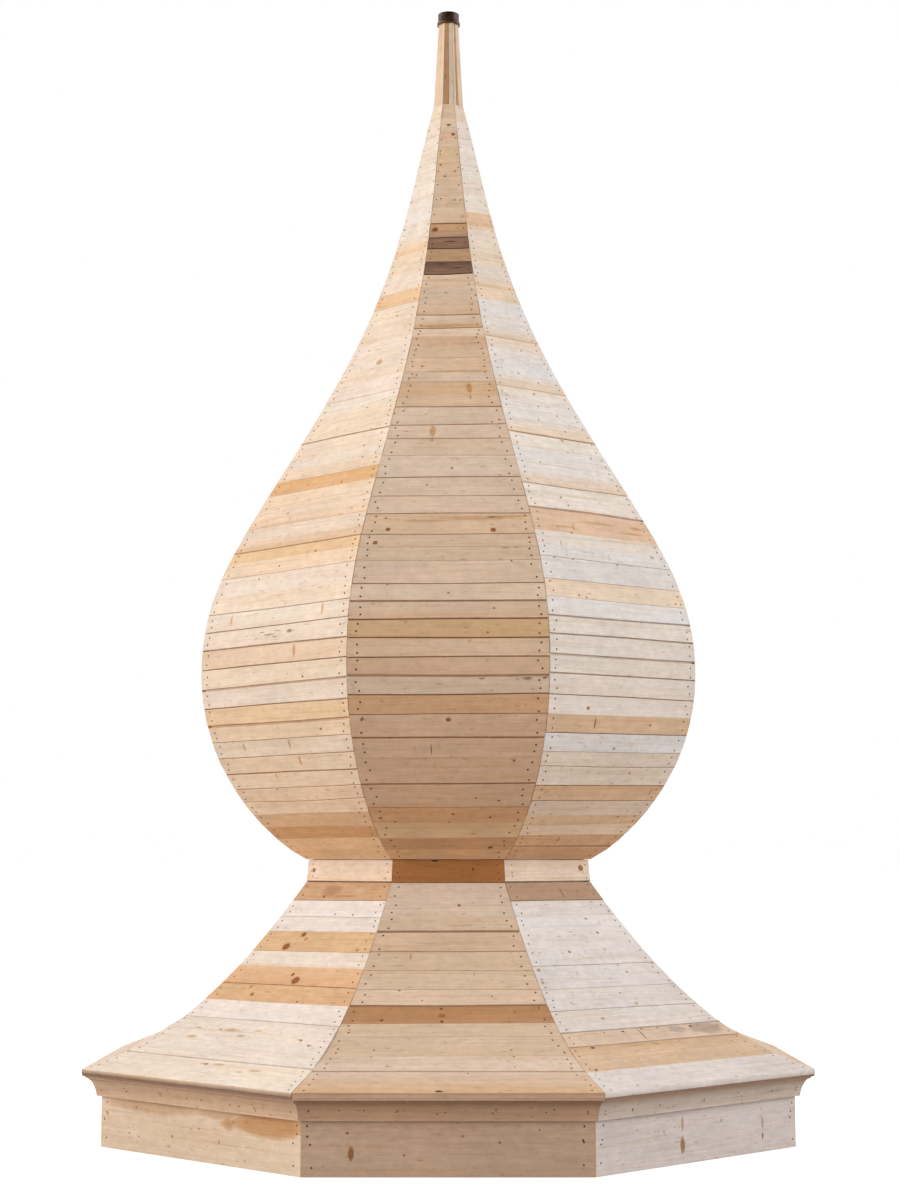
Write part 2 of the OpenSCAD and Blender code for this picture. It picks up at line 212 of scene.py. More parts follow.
# painted shade under the eave: the front cove takes the shaded tone, and the front and right coves darken
# at their heads to paint the shadow line below the eave
COVE_SHADE_LOOKS = {"front": ("shaded", "shaded", "chestnut"), "front_left": ("tan_grey",) * 3,
              "front_right": ("grey", "grey", "tan_brown")}
NECK_LOOKS = {"front": ("deep_rust",) * 3, "front_left": ("cream", "pale", "pale"),
              "front_right": PLAIN_LOOK}
# tones of the slats of a side from left to right, and their edges by how many there are
SLAT_LOOKS = {"front": ("brown", "plain"), "front_left": ("cream",),
              "front_right": ("cream", "brown", "cream")}
SLAT_EDGES = {1: (-1.0, 1.0), 2: (-1.0, 0.0, 1.0), 3: (-1.0, -0.45, -0.05, 1.0)}

# marks: place across the face from -1 at the left hip to 1, height along the face in mm, and size unless
# it is a common knot's; a name is the kind of the marks after it, and those before it are knots
ONION_MARKS = {"front": [
    (.01, 300, 6), (.06, 352), (.54, 333), (.61, 436), (.33, 452, 6), (.65, 113, 13), (-.89, 328),
    (-.7, 303, 6), (0, 873, 13), (-.87, 880), (.71, 660), (.05, 2278, 8), "eye", (-.7, 1880, 14),
    (.52, 1877, 16), (-.82, 1800, 14), "smear", (-.7, 1945, 16), "knot", (.68, 1692, 6), (0, 1512, 6),
    (.46, 1432, 6), (-.63, 1562, 6), (-.29, 2165, 6), (-.75, 1950), (.39, 1308, 6), (-.7, 2918, 6),
    (-.6, 2980, 6), (-.98, 2650, 6), (.76, 2593, 6), "grey", (-.1, 3478, 8), "knot", (.95, 3462, 6),
    (-.28, 4230), (-.5, 4087, 6), (.39, 4080, 6), (-.76, 4392, 6), (-.67, 4302), (.52, 4262, 6),
    (.52, 4500, 12), "black", (.03, 4560, 10), "blaze", (.43, 2829, 38), (.43, 2764, 18), (-.26, 2468, 12),
    (-.26, 2530, 42), "scuff", (.33, 1084, 20), (.78, 1086, 34), "black", (.95, 1084, 9), "crack",
    (-.18, 725, 34), "reddish", (.3, 1950, 240), (-.25, 1935, 150), (.7, 1960, 160), "stripe",
    (.3, 2952, 260), (0, 3255, 200), "shade", (.24, 3705, 50), "eye", (-.70, 3888, 18), "pale_line",
    (-.35, 3628, 60), (.45, 3652, 50), "dash", (.35, 3640, 30), (-.3, 3665, 26), "pale_line",
    (.3, 3790, 55), (-.5, 3815, 45), "dash", (.1, 3812, 34), "shade", (-.4, 3740, 40)
], "front_left": [
    (-.31, 527, 8), "streak", (.12, 770, 36), (.21, 676, 36), (-.55, 768, 30), (-.23, 598, 22),
    (.36, 32, 14), (.64, 1450, 40), (-.64, 1440, 36), (.30, 1245, 46), "knot", (.6, 840, 8), (.84, 370),
    (.42, 1105, 8), (.36, 1790, 8), (-.14, 1728), (-.39, 1665), "grey", (-.4, 2070, 10), "knot",
    (.37, 2228), (.58, 2568), (.55, 2463), (.61, 2380), "amber", (.1, 3053, 22), "knot", (.28, 2737),
    (-.43, 3153), (.19, 3358), "dash", (.56, 1567, 16), (-.64, 2113, 16), "smudge", (-.06, 1340, 56),
    "scuff", (.22, 1349, 28), "dash", (-.16, 1356, 20), (.04, 1358, 16), (.02, 1326, 18), (-.24, 1326, 12),
    "white", (.57, 232, 40)
], "front_right": [
    "stem", (-.35, 873, 36), "white", (.52, 875, 50), "eye", (-.47, 950, 12), "knot", (-.01, 748, 8),
    (.43, 880, 8), (.57, 350), (.35, 615), (-.42, 1895, 8), (-.38, 2125, 8), (-.3, 2072), "grey",
    (.77, 1812, 14), "knot", (-.45, 1518), (-.55, 1525), (.86, 1545), (-.53, 1728), (-.8, 1728),
    (.14, 1732), (-.21, 2973), (.3, 2932), (.01, 2843, 8), (-.02, 2758), (.38, 2715), (.39, 2605),
    (-.17, 2657), (.67, 2447), (.19, 2457), (-.52, 2352), (.19, 3143), "streak", (-.21, 172, 30),
    (.83, 507, 26), "amber", (.19, 2540, 14), "crack", (-.64, 1810, 36), "stripe", (-.5, 1930, 130),
    (.1, 1985, 170), (.62, 1950, 130), "streak", (-.62, 1920, 20), (-.36, 1935, 26), "smear",
    (.75, 1990, 60)
]}
SKIRT_MARKS = {"front": [
    (.17, 1343, 9), "reddish", (.17, 1213, 90), "streak", (-.47, 1027, 22), (.30, 917, 14), "knot",
    (-.53, 809, 9), (-.27, 741, 5), (.46, 769, 5), (-.07, 692, 8), (-.63, 614, 9), "amber", (-.06, 645, 18),
    "knot", (-.06, 606, 10), (-.61, 397, 6), (-.61, 340, 6), (.52, 399, 6), (.52, 340, 6), "streak",
    (-.46, 255, 18), (.50, 250, 16), "knot", (.14, 195, 6), "black", (-.06, 16, 15)
], "front_left": [
    "eye", (-.29, 1146, 20), "amber", (-.20, 1120, 14), "eye", (-.46, 1066, 29), "knot", (-.36, 1390, 10),
    "dusk", (-.25, 1426, 95), "white", (.36, 1430, 45), "shade", (.72, 1440, 60), (.1, 1395, 120), "knot",
    (-.03, 888, 13), "eye", (.07, 850, 31), "knot", (-.40, 745, 13), "amber", (-.51, 793, 14), "knot",
    (.29, 715, 8), (.08, 1280), (.43, 1280), (.68, 435, 11), (.80, 401, 10), "smear", (.66, 440, 36),
    (.80, 405, 32), (-.05, 186, 40), (-.20, 470, 80), (-.02, 430, 50), (.12, 480, 40), (-.62, 470, 40),
    "amber", (-.34, 470, 12), "smear", (-.56, 395, 60), "knot", (-.02, 184, 13), "smear", (.10, 192, 60),
    (.50, 165, 60), (.38, 140, 36), "amber", (.78, 1063, 13)
], "front_right": [
    "crack", (.17, 1412, 44), "knot", (.35, 1250, 8), (.40, 1160, 10), (-.05, 1150, 5), (-.30, 1043, 10),
    (.32, 1048, 6), (.41, 899, 8), (.35, 945, 6), (.07, 761), "amber", (.18, 685, 12), (-.40, 597, 12),
    "crack", (-.09, 462, 54), "patch", (.37, 480, 80), "weathered", (.72, 470, 150), "black",
    (.57, 492, 13), "knot", (-.5, 500, 6), "black", (-.28, 496, 9), "knot", (-.04, 503, 8), (.16, 502),
    "smear", (-.74, 497, 16), "black", (-.75, 400, 12), "knot", (-.89, 220, 12), (-.68, 37), "amber",
    (-.92, 937, 14), (-.93, 859, 12), (.93, 950, 14), "streak", (.11, 370, 14)
]}
# marks on the plain lengths, with a share of the height
PLINTH_MARKS = {"front": [
    "oval", (-.66, .30, 40), "knot", (-.685, .56), (-.30, .28, 6), (.35, .44, 6), (.62, .60, 5), "amber",
    (.10, .52, 8)
], "front_left": [
    # the warmth and top band marks darken the top of the board just under the cove
    "warmth", (-.45, .66, 430), (.20, .65, 200), "glow", (.71, .60, 350), "stain", (.32, .56, 80), "amber",
    (-.93, .48, 9), "knot", (-.69, .25, 6), (-.59, .22, 5), (-.24, .29), "oval", (.23, .30, 14), "amber",
    (.03, .44, 8), (-.62, .62, 8)
], "front_right": [
    "oval", (-.18, .25, 48), "streak", (-.18, .54, 44), "oval", (.64, .22, 22), "streak", (.64, .40, 40),
    "amber", (.21, .51, 9), "knot", (-.36, .46, 5)
]}
NECK_MARKS = {
    "front": [(.44, .58, 7), "white", (-.9, .86, 34), "black", (-.24, .985, 14)],
    "front_left": ["eye", (-.84, .50, 14)],
    "front_right": ["eye", (.79, .60, 21)],
}
# colour shares at the core and half way out, half length along the grain and half height per unit of size,
# and the share of the size that the core takes
MARKS = {
    "knot": ((.38, .24, .15), (.68, .5, .36), 1.2, 1, .58),
    "amber": ((.74, .54, .35), (.84, .67, .49), 1.3, 1, .5),
    "black": ((.17, .14, .13), (.38, .3, .26), 1.5, .8, .5),
    "grey": ((.62, .62, .64), (.78, .77, .78), 1.8, .9, .4),
    "oval": ((.44, .28, .17), (.72, .53, .36), .42, 1, .5),
    "eye": ((.27, .15, .08), (.72, .5, .31), 1.15, 1, .5),
    "smear": ((.78, .6, .43), (.88, .75, .61), 1, .22, .4),
    "glow": ((.71, .5, .3), (.8, .63, .44), 1, .19, .5),
    "warmth": ((.82, .71, .59), (.9, .83, .75), 1, .11, .55),
    "dusk": ((.8, .73, .7), (.88, .83, .81), 1, .46, .55),
    "weathered": ((.68, .68, .73), (.8, .8, .84), 1, .36, .6),
    "shade": ((.78, .65, .5), (.88, .79, .68), 1, .06, .5),
    "stain": ((.68, .5, .33), (.84, .69, .53), 1, .45, .25),
    "patch": ((.7, .72, .8), (.78, .8, .86), 1, .42, .4),
    "streak": ((.74, .55, .39), (.85, .7, .56), .28, 1, .42),
    "stem": ((.5, .33, .2), (.74, .56, .4), .24, 1, .5),
    "crack": ((.22, .16, .12), (.6, .5, .42), .09, 1, .55),
    "dash": ((.36, .28, .23), (.62, .54, .48), 1.2, .16, .45),
    "smudge": ((.54, .5, .49), (.76, .72, .7), 1, .12, .5),
    "scuff": ((.38, .34, .33), (.66, .61, .58), 1, .45, .4),
    "reddish": ((.86, .7, .6), (.91, .8, .72), 1, .075, .38),
    "stripe": ((.84, .7, .54), (.88, .77, .64), 1, .055, .38),
    "blaze": ((.8, .62, .43), (.86, .7, .53), .44, 1, .72),
    "pale_line": ((1.42, 1.46, 1.48), (1.2, 1.22, 1.23), 1, .07, .4),
    "white": ((1.08, 1.16, 1.3), (1.05, 1.1, 1.18), 1.2, .55, .38),
}
# how much lighter than its rim the middle of a mark is
HEARTS = {"eye": 2.1, "oval": 1.4}
# how far a mark stands proud of its board and goes into it, the share of its size there, and its room
# at the ends of the board
PROUD = 0.25 * MM
MARK_DEPTH = 1.2 * MM
MARK_FOOT = 0.92
MARK_ROOM = 0.002
MARK_TURNS = 14
# marks of an unseen face: how many a board, their kinds, and their sizes where they aren't a knot's
MARKS_A_BOARD = 0.9
COMMON_MARKS = ["knot", "knot", "knot", "amber", "streak", "grey"]
COMMON_SIZES = {"streak": 26, "amber": 14}
KNOT_SIZE = 7

plinth_lo, plinth_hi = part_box("plinth_front")
HIP_ANGLE = math.radians(round(math.degrees(math.atan2(plinth_hi.x, -plinth_lo.y)), 1))


class Side:
    """One of the eight directions; a point is a distance from the axis, a height and a place across."""

    def __init__(self, index):
        self.index = index
        self.name = SIDES[index]
        angle = math.radians(45 * index - 90)
        half = HIP_ANGLE if index % 2 == 0 else math.radians(45) - HIP_ANGLE
        self.out = np.array([math.cos(angle), math.sin(angle), 0.0])
        self.right = np.array([-math.sin(angle), math.cos(angle), 0.0])
        self.reach = math.cos(half) / math.cos(HIP_ANGLE)
        self.spread = math.tan(half)

    def half_width(self, a):
        return a * self.reach * self.spread

    def point(self, a, z, v):
        flat = self.out * (a * self.reach) + self.right * (self.half_width(a) * v)
        return (flat[0], flat[1], z)

    def series(self, form):
        return np.random.default_rng(SEED + SEEDS[form] + self.index)


def add_object(name, data):
    obj = bpy.data.objects.new(name, data)
    bpy.context.scene.collection.objects.link(obj)
    return obj


def bands(count, size):
    """Faces from each ring of points to the next, and last from the last ring to the first."""
    faces = []
    for j in range(count):
        m = (j + 1) % count
        for q in range(size):
            r = (q + 1) % size
            faces.append((j * size + q, j * size + r, m * size + r, m * size + q))
    return faces


class Shell:
    """Collects the closed forms of one piece with their colours, grain places and finishes."""

    def __init__(self):
        self.points, self.tones, self.grains = [], [], []
        self.faces, self.finish, self.smooth = [], [], []

    def add(self, points, tones, grains, faces, finish=0, smooth=False):
        first = len(self.points)
        self.points.extend(points)
        self.tones.extend(tones)
        self.grains.extend(grains)
        for face in faces:
            self.faces.append(tuple(first + k for k in face))
            self.finish.append(finish)
            self.smooth.append(smooth)

    def tube(self, rings, tones, grains):
        """A closed form through rings of the same number of points."""
        count, size = len(rings), len(rings[0])
        faces = bands(count, size)[:-size]
        faces.append(tuple(reversed(range(size))))
        faces.append(tuple((count - 1) * size + q for q in range(size)))
        flat = [p for ring in rings for p in ring]
        self.add(flat, [c for row in tones for c in row], [g for row in grains for g in row], faces)

    def piece(self, name, node, slot="pine_boards"):
        """The mesh object that stands for a node."""
        mesh = bpy.data.meshes.new(name)
        mesh.from_pydata([tuple(p) for p in self.points], [], self.faces)
        for material in finishes[slot]:
            mesh.materials.append(material)
        mesh.polygons.foreach_set("material_index", self.finish)
        mesh.polygons.foreach_set("use_smooth", self.smooth)
        opaque = np.ones((len(self.tones), 1))
        tone = mesh.attributes.new("tone", "FLOAT_COLOR", "POINT")
        tone.data.foreach_set("color", np.hstack([np.array(self.tones), opaque]).ravel())
        grain = mesh.attributes.new("grain", "FLOAT_VECTOR", "POINT")
        grain.data.foreach_set("vector", np.array(self.grains, float).ravel())
        work = bmesh.new()
        work.from_mesh(mesh)
        bmesh.ops.recalc_face_normals(work, faces=work.faces)
        work.to_mesh(mesh)
        work.free()
        obj = add_object(name, mesh)
        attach(obj, "root")
        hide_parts(node)
        return obj


def dome_faces(turns, rings):
    """Faces of a dome: a fan round its first point, bands from ring to ring, and the closed foot."""
    faces = [(0, 1 + k, 1 + (k + 1) % turns) for k in range(turns)]
    for ring in range(rings - 1):
        one, two = 1 + ring * turns, 1 + (ring + 1) * turns
        for k in range(turns):
            m = (k + 1) % turns
            faces.append((one + k, two + k, two + m, one + m))
    faces.append(tuple(1 + (rings - 1) * turns + k for k in range(turns)))
    return faces


class Plank:
    """One board between two lines of its face, with its colours and its grain."""

    def __init__(self, side, stations, low, high, rows, rng, offset=0.0, chamfers=(CHAMFER, CHAMFER),
                 tongues=(0.0, 0.0)):
        self.side, self.stations = side, np.array(stations)
        self.low, self.high = np.array(low), np.array(high)
        self.half = side.half_width(float(np.mean(self.low[:, 0])))
        self.rows = [np.array(TONES[r]) if isinstance(r, str) else np.array(r) for r in rows]
        self.offset, self.chamfers, self.tongues = offset, chamfers, tongues
        self.shift = rng.uniform(-GRAIN_SHIFT, GRAIN_SHIFT, 3)
        self.ripple = rng.normal(0, RIPPLE, 3)
        self.phase = rng.uniform(0, 6.28, 3)
        value = rng.normal(1.0, VALUE_SPREAD)
        warmth = rng.normal(0.0, WARMTH_SPREAD)
        self.cast = value * np.array([1.0, 1.0 - warmth, 1.0 - 2.2 * warmth])

    def edge(self, line, v):
        return np.array([np.interp(v, self.stations, column) for column in line.T])

    def width(self, v=0.0):
        return float(np.linalg.norm(self.edge(self.high, v) - self.edge(self.low, v)))

    def place(self, v, x, depth):
        """The point at v across the face, x up the board and so deep below its surface."""
        low = self.edge(self.low, v)
        run = self.edge(self.high, v) - low
        run = run / np.linalg.norm(run)
        inward = np.array([-run[1], run[0]])
        a, z = low + run * x + inward * (depth + self.offset)
        return self.side.point(a, z, v)

    def tone(self, v, share):
        """The colour at a share of the width, with three slow waves along the board."""
        low, mid, high = self.rows
        base = low + (mid - low) * 2 * share if share < 0.5 else mid + (high - mid) * (2 * share - 1)
        wave = sum(self.ripple[k] * math.sin((k + 1.3) * 1.9 * v + self.phase[k]) for k in range(3))
        return np.clip(PLAIN * base * self.cast * (1.0 + wave), *TONE_LIMITS)

    def grain(self, v, x, depth=0.0):
        return (self.half * v + self.shift[0], x + self.shift[1], depth + self.shift[2])

    def build(self, shell, low_cut=None, high_cut=None, eave_shadow_tones=None):
        """The closed board; its edges are cut square, level or plumb, and an eave has tones of its own,
        which paint the shadow line along the eave.
        """
        rings, tones, grains = [], [], []
        for v in self.stations:
            w = self.width(v)
            run = (self.edge(self.high, v) - self.edge(self.low, v)) / w
            cuts = {None: 0.0, "level": -BOARD_T * run[0] / run[1] if run[1] else 0.0,
                    "plumb": BOARD_T * run[1] / run[0] if run[0] else 0.0}
            under, over = self.chamfers
            below, above = self.tongues
            ring = [(0, under), (under, 0), (w / 3, 0), (2 * w / 3, 0), (w - over, 0), (w, over)]
            if above:
                ring += [(w, TONGUE_DEPTH), (w + above, TONGUE_DEPTH)]
            ring += [(w + above + cuts[high_cut], BOARD_T), (cuts[low_cut] - below, BOARD_T)]
            lower_back = len(ring) - 1
            if below:
                ring += [(-below, TONGUE_DEPTH), (0, TONGUE_DEPTH)]
            rings.append([self.place(v, x, y) for x, y in ring])
            tones.append([self.tone(v, min(max(x / w, 0), 1)) for x, y in ring])
            # painted shadow line: the eave's cut edge takes the given tones at its two arrises
            if eave_shadow_tones:
                tones[-1][0] = PLAIN * TONES[eave_shadow_tones[0]]
                tones[-1][lower_back] = PLAIN * TONES[eave_shadow_tones[1]]
            grains.append([self.grain(v, x, y) for x, y in ring])
        shell.tube(rings, tones, grains)

    def nail(self, shell, v, x, radius):
        """A domed head pressed into the board."""
        points = [self.place(v, x, NAIL_CROWN * MM)]
        for share, depth in NAIL_RINGS:
            for k in range(NAIL_TURNS):
                angle = 2 * math.pi * k / NAIL_TURNS
                across = radius * share * math.cos(angle) / self.half
                points.append(self.place(v + across, x + radius * share * math.sin(angle), depth * MM))
        tones = [PLAIN] * len(points)
        grains = [self.grain(v, x)] * len(points)
        faces = dome_faces(NAIL_TURNS, len(NAIL_RINGS))
        shell.add(points, tones, grains, faces, finish=1, smooth=True)

    def nail_ends(self, shell, shares, inset, spread, radius, rng):
        """Nails at both ends of a plain length."""
        for end in (-1, 1):
            for share in shares:
                v = end * (1 - rng.uniform(*inset) * MM / self.half)
                self.nail(shell, v, self.width() * (share + rng.normal(0, spread)), radius)

    def mark(self, shell, kind, v, x, size):
        """A knot, streak or stain let into the face, which fades out into the board around it."""
        core, middle, along, across, reach = MARKS[kind]
        core, middle, plain = np.array(core), np.array(middle), np.ones(3)
        w = self.width(v)
        points, tones, grains = [], [], []

        def put(share, angle, colour, depth):
            pv = v + size * MM * along * share * math.cos(angle) / self.half
            px = x + size * MM * across * share * math.sin(angle)
            pv = min(max(pv, self.stations[0] + MARK_ROOM), self.stations[-1] - MARK_ROOM)
            px = min(max(px, self.chamfers[0]), w - self.chamfers[1])
            points.append(self.place(pv, px, depth))
            tones.append(self.tone(pv, px / w) * colour)
            grains.append(self.grain(pv, px))

        angles = [2 * math.pi * k / MARK_TURNS for k in range(MARK_TURNS)]
        rings = ((reach, core, -PROUD), ((1 + reach) / 2, middle, -PROUD), (1.0, plain, -0.2 * PROUD))
        put(0, 0, core * HEARTS.get(kind, 1.0), -PROUD)
        for share, colour, depth in rings:
            for k, angle in enumerate(angles):
                wave = 1.0 + 0.10 * math.sin(2 * k + self.phase[0]) * share
                put(share * wave, angle, colour, depth)
        for angle in angles:
            put(MARK_FOOT, angle, plain, MARK_DEPTH)
        shell.add(points, tones, grains, dome_faces(MARK_TURNS, len(rings) + 1))


def front_places(node):
    """How far out and how high those points of a node are that lie in front of the axis."""
    return [(-v.co.y, v.co.z) for v in frame["nodes"][node].data.vertices if abs(v.co.x) < -0.5 * v.co.y]


class Line:
    """The outer line of a front node by its length, as distances from the axis and heights."""

    def __init__(self, node, least_up):
        mesh = frame["nodes"][node].data
        found = []
        for polygon in mesh.polygons:
            if -polygon.normal.y > 0.05 and polygon.normal.z > least_up:
                found.extend((-mesh.vertices[k].co.y, mesh.vertices[k].co.z) for k in polygon.vertices)
        line = []
        for a, z in sorted(found, key=lambda p: p[1]):
            if not line or math.hypot(a - line[-1][0], z - line[-1][1]) > 4 * MM:
                line.append((a, z))
        self.points = np.array(line)
        self.along = np.concatenate([[0], np.cumsum([math.dist(p, q) for p, q in zip(line, line[1:])])])
        self.total = self.along[-1]

    def at(self, s):
        return np.array([np.interp(s, self.along, column) for column in self.points.T])


def board_rows(rows):
    """Each board of a list with its joint, a tight one where none is given."""
    return [row if isinstance(row[1], int) else (row[0], 0, *row[1:]) for row in rows]


def schedule(boards, side, rng):
    """The boards of a face; one that the photograph doesn't show repeats one that it does, reordered."""
    if side.name in boards:
        return board_rows(boards[side.name])
    like = "front" if side.index % 2 == 0 else ("front_left" if side.index == 5 else "front_right")
    rows = board_rows(boards[like])
    tones = [row[2:] if row[2] not in ("dark", "umber") else ("warm",) for row in rows]
    if like == "front_right":
        tones = [tuple(CALMER.get(name, name) for name in names) for names in tones]
    order = np.argsort(np.arange(len(rows)) + rng.normal(0, 4.0, len(rows)))
    edges = [row[0] + (rng.normal(0, 4.0) if row is not rows[-1] else 0) for row in rows]
    return [(edge, row[1]) + tuple(tones[k]) for edge, row, k in zip(edges, rows, order)]


def wandering_joint(edge, fade, tilt, stations, rng):
    """The line of one joint across a face."""
    wave = rng.normal(0, WOBBLE, 3) * MM * min(1.0, 2 * fade)
    rise = (tilt + rng.normal(0, TILT_SPREAD)) * MM * fade
    bow = wave[0] * np.sin(2.1 * stations + wave[1] * 900) + wave[2] * np.cos(3.3 * stations)
    return edge + rise * stations + bow


def boarded_face(side, line, boards, marks, tilt, cuts, rng, shell):
    """Lays the boards of one face, nails them and adds their marks."""
    rows = schedule(boards, side, rng)
    last = len(rows)
    scale = line.total / (rows[-1][0] * MM)
    stations = np.linspace(-1, 1, STATIONS)
    joints = []
    for k, edge in enumerate([0.0] + [row[0] * MM * scale for row in rows]):
        fade = min(1.0, k / FADE_BOARDS, (last - k) / FADE_BOARDS)
        joints.append(wandering_joint(edge, fade, tilt, stations, rng))
    openness = [END_JOINT] + [JOINTS[row[1]] for row in rows[:-1]] + [END_JOINT]
    gaps, chamfers = np.array(openness).T * MM
    gaps = gaps * rng.uniform(*GAP_SPREAD, len(gaps)) / 2
    tongues = [gap if gap > TONGUED and 0 < k < last else 0.0 for k, gap in enumerate(gaps)]
    planks = []
    for k, row in enumerate(rows):
        low = [line.at(s + gaps[k]) for s in joints[k]]
        high = [line.at(s - gaps[k + 1]) for s in joints[k + 1]]
        foot, head = np.array(TONES[row[2]]), np.array(TONES[row[-1]])
        tones = [foot, (foot + head) / 2, head]
        left, right = rng.uniform(*END_GAP, 2) * MM / side.half_width(low[0][0])
        ends = np.linspace(left - 1, 1 - right, STATIONS)
        back = rng.uniform(0.0, STEP_BACK) * MM
        plank = Plank(side, ends, low, high, tones, rng, back, chamfers[k:k + 2], tongues[k:k + 2])
        is_eave = k == 0 and cuts[0] == "plumb"
        # the eave's edge tones paint the shadow line along the eave
        eave_shadow_tones = EAVE_EDGE_SHADOW_TONES.get(side.name, ("plain", "plain")) if is_eave else None
        plank.build(shell, cuts[0] if k == 0 else None, cuts[1] if k == last - 1 else None, eave_shadow_tones)
        planks.append(plank)
        nail_board(shell, plank, rng)
    wanted = mark_rows(marks[side.name]) if side.name in marks else common_marks(joints, scale, rng)
    place_marks(shell, planks, joints, wanted, scale)


def nail_board(shell, plank, rng):
    """Nails at both ends of a board, fewer and smaller where the face is narrow."""
    half = plank.half
    w = plank.width()
    count = max(2, round(w / NAIL_PITCH)) if half > PAIRED_HALF else 1
    radius = NAIL_R * min(1.0, 0.72 + 0.8 * half)
    for end in (-1, 1):
        for k in range(count):
            inset = min(rng.uniform(*NAIL_EDGE) * MM, rng.uniform(*NAIL_EDGE_SHARE) * half)
            height = w * (k + 0.5 + rng.normal(0, 0.1)) / count
            if half > NAILED_HALF:
                plank.nail(shell, end * (1 - inset / half), height, radius)


def mark_rows(rows):
    """Each mark of a list with its kind."""
    kind = "knot"
    for row in rows:
        if isinstance(row, str):
            kind = row
        else:
            v, height, *size = row
            yield kind, v, height, *(size or [KNOT_SIZE])


def common_marks(joints, scale, rng):
    """Marks for a face that the photograph doesn't show."""
    heights = [np.mean(joint) for joint in joints]
    wanted = []
    for low, high in zip(heights, heights[1:]):
        for _ in range(rng.poisson(MARKS_A_BOARD)):
            height = low + rng.uniform(0.2, 0.8) * (high - low)
            kind = str(rng.choice(COMMON_MARKS))
            size = COMMON_SIZES.get(kind, KNOT_SIZE) * rng.uniform(0.8, 1.3)
            wanted.append((kind, rng.uniform(-0.85, 0.85), height / MM / scale, size))
    return wanted


def place_marks(shell, planks, joints, wanted, scale):
    """Puts each mark on the board at its height, inside the board's edges."""
    room = 3 * MM
    for kind, v, height, size in wanted:
        s = height * MM * scale
        for k, plank in enumerate(planks):
            low = np.interp(v, plank.stations, joints[k])
            high = np.interp(v, plank.stations, joints[k + 1])
            if low <= s < high:
                plank.mark(shell, kind, v, min(max(s - low, room), plank.width(v) - room), size)
                break


def plain_length(side, low, high, rows, rng):
    """The board of a mitred length between a lower and an upper place of distance and height."""
    gap = END_GAP[0] * MM / side.half_width(low[0])
    stations = np.linspace(-1 + gap, 1 - gap, STATIONS)
    return Plank(side, stations, [np.array(low)] * STATIONS, [np.array(high)] * STATIONS, rows, rng)


def nailed_length(shell, side, low, high, looks, nails, marks, spare, rng):
    """A plain board with its nails and marks; a side with no list of marks gets so many spare ones."""
    plank = plain_length(side, low, high, looks.get(side.name, PLAIN_LOOK), rng)
    plank.build(shell)
    plank.nail_ends(shell, *nails, rng)
    if side.name in marks:
        wanted = mark_rows(marks[side.name])
    else:
        wanted = [(str(rng.choice(["knot", "amber", "knot"])), rng.uniform(-.85, .85),
                   rng.uniform(.08, .62), rng.uniform(6, 13)) for _ in range(spare)]
    for kind, v, share, size in wanted:
        plank.mark(shell, kind, v, share * plank.width(), size)


def section_length(shell, side, section, rows, rng):
    """A mitred length with any section, coloured from its foot to its head."""
    low = min(z for a, z in section)
    high = max(z for a, z in section)
    mid_a = float(np.mean([a for a, z in section]))
    plank = plain_length(side, (mid_a, low), (mid_a, high), rows, rng)
    around = np.concatenate([[0], np.cumsum([math.dist(p, q) for p, q in zip(section, section[1:])])])
    rings, tones, grains = [], [], []
    for v in plank.stations:
        rings.append([side.point(a, z, v) for a, z in section])
        tones.append([plank.tone(v, (z - low) / (high - low)) for a, z in section])
        grains.append([plank.grain(v, x) for x in around])
    shell.tube(rings, tones, grains)


def fill(tree, node, inputs):
    """Links or sets a node's inputs."""
    for key, value in inputs.items():
        if isinstance(value, bpy.types.NodeSocket):
            tree.links.new(value, node.inputs[key])
        else:
            node.inputs[key].default_value = value


def graph_node(tree, kind, inputs=None, **settings):
    """A shader node with its settings and inputs."""
    node = tree.nodes.new("ShaderNode" + kind)
    for key, value in settings.items():
        setattr(node, key, value)
    fill(tree, node, inputs or {})
    return node


def new_material(name):
    material = bpy.data.materials.new(name)
    material.use_nodes = True
    tree = material.node_tree
    return material, tree, tree.nodes["Principled BSDF"]


def object_place(tree):
    return graph_node(tree, "TexCoord").outputs["Object"]


def stretched(tree, vector, scale):
    node = graph_node(tree, "VectorMath", {0: vector, 1: scale}, operation="MULTIPLY")
    return node.outputs[0]


def noise(tree, vector, scale, detail=2.0, rough=0.5, distortion=0.0):
    node = graph_node(tree, "TexNoise", {
        "Vector": stretched(tree, vector, scale), "Scale": 1.0, "Detail": detail, "Roughness": rough,
        "Distortion": distortion})
    return node.outputs["Fac"]


def ranged(tree, value, start, end, low, high):
    node = graph_node(tree, "MapRange", {
        "Value": value, "From Min": start, "From Max": end, "To Min": low, "To Max": high})
    return node.outputs["Result"]


def uneven(tree, colour, value, darker, lighter):
    """A colour that a noise makes so much darker and lighter."""
    factor = ranged(tree, value, 0.3, 0.7, 1.0 - darker, 1.0 + lighter)
    node = graph_node(tree, "VectorMath", {0: colour, "Scale": factor}, operation="SCALE")
    return node.outputs[0]


def tinted(tree, colour, factor, tint):
    """A colour that takes on a tint where the factor is high."""
    node = graph_node(tree, "Mix", {0: factor, 6: colour, 7: tint + (1.0,)}, data_type="RGBA",
                      blend_type="MULTIPLY")
    return node.outputs[2]


def two_colours(tree, value, low, high, stops=(0.35, 0.70)):
    """A ramp from one colour to another."""
    ramp = graph_node(tree, "ValToRGB", {"Fac": value})
    for k, colour in enumerate((low, high)):
        ramp.color_ramp.elements[k].position = stops[k]
        ramp.color_ramp.elements[k].color = colour + (1,)
    return ramp.outputs["Color"]


def relief(tree, height, strength, distance):
    inputs = {"Strength": strength, "Distance": distance, "Height": height}
    return graph_node(tree, "Bump", inputs).outputs["Normal"]


